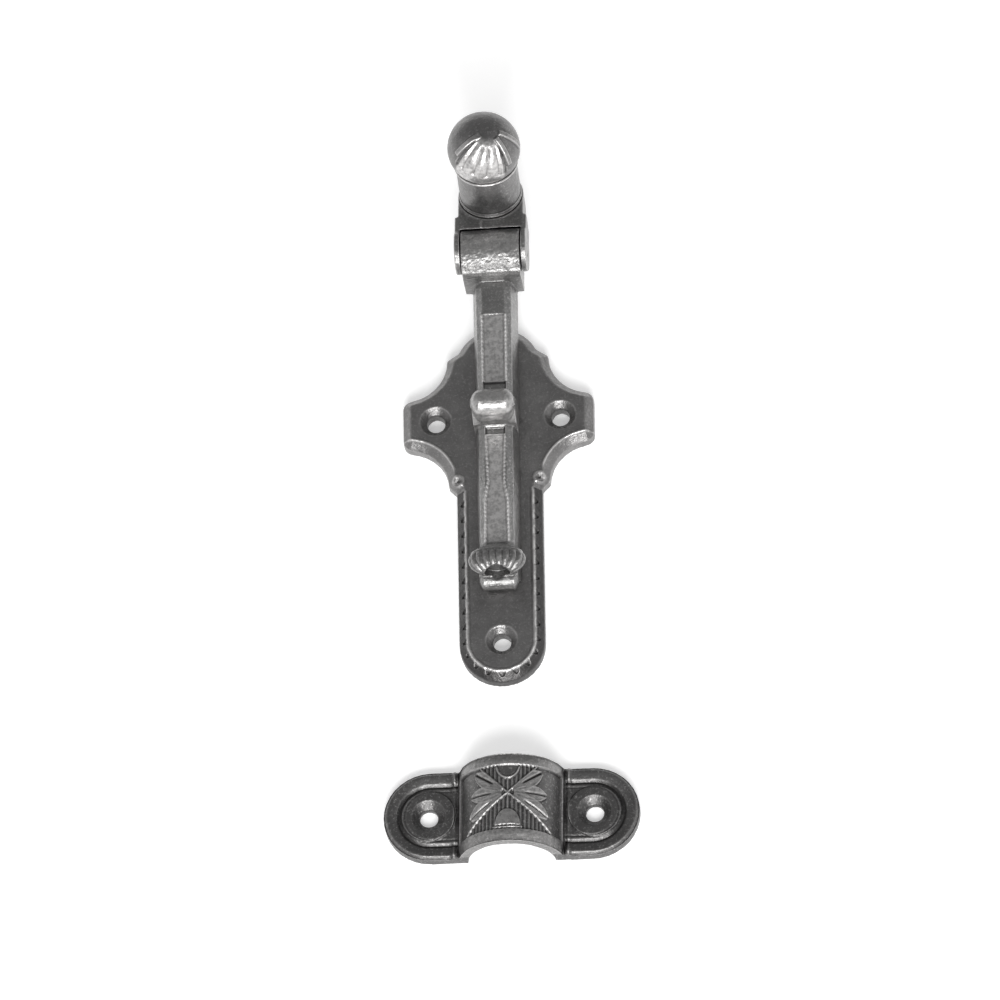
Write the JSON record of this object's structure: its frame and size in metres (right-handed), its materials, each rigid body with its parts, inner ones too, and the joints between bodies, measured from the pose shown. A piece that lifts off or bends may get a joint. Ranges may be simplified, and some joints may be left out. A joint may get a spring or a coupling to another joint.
{
  "type": "toggle bolt latch",
  "caption": "Cast iron surface bolt with a winged backplate, a sliding bolt bar, a hinged arm with a round knob, and a separate arched keeper.",
  "frame": {"origin": "on the centreline of the backplate's back face, between its lower screw hole and its guide slot", "axes": "+Y runs up the bolt towards the hinged knob, +Z points away from the door, +X is to the right"},
  "size_m": [0.0714, 0.2139, 0.0445],
  "materials": {
    "plate_iron": "dark pewter cast skin, light grain",
    "bolt_iron": "dark pewter cast skin, rubbed brighter on edges",
    "knob_iron": "dark pewter cast skin, rubbed brighter on the flutes",
    "keeper_iron": "dark pewter cast skin, light grain",
    "pin_steel": "dark, peened",
    "washer_steel": "dull",
    "spring_steel": "blued, dull"
  },
  "bodies": {
    "latch_plate": {"backplate": "plate_iron"},
    "bolt": {"bolt_bar": "bolt_iron", "guide_rivet_lower": "pin_steel", "guide_rivet_upper": "pin_steel", "guide_washer_lower": "washer_steel", "guide_washer_upper": "washer_steel", "friction_spring": "spring_steel", "hinge_pin": "pin_steel"},
    "toggle": {"toggle_arm": "bolt_iron", "knob": "knob_iron"},
    "keeper": {"keeper": "keeper_iron"}
  },
  "joints": [
    {"name": "bolt_slide", "type": "slide", "parent": "latch_plate", "child": "bolt", "axis": [0, -1, 0], "range_m": [0, 0.045]},
    {"name": "toggle_hinge", "type": "hinge", "parent": "bolt", "child": "toggle", "pos_m": [0, 0.1064, 0.0158], "axis": [1, 0, 0], "range_deg": [0, 90]},
    {"name": "keeper_lift", "type": "slide", "parent": "latch_plate", "child": "keeper", "axis": [0, 0, 1], "range_m": [0, 0.06]}
  ]
}
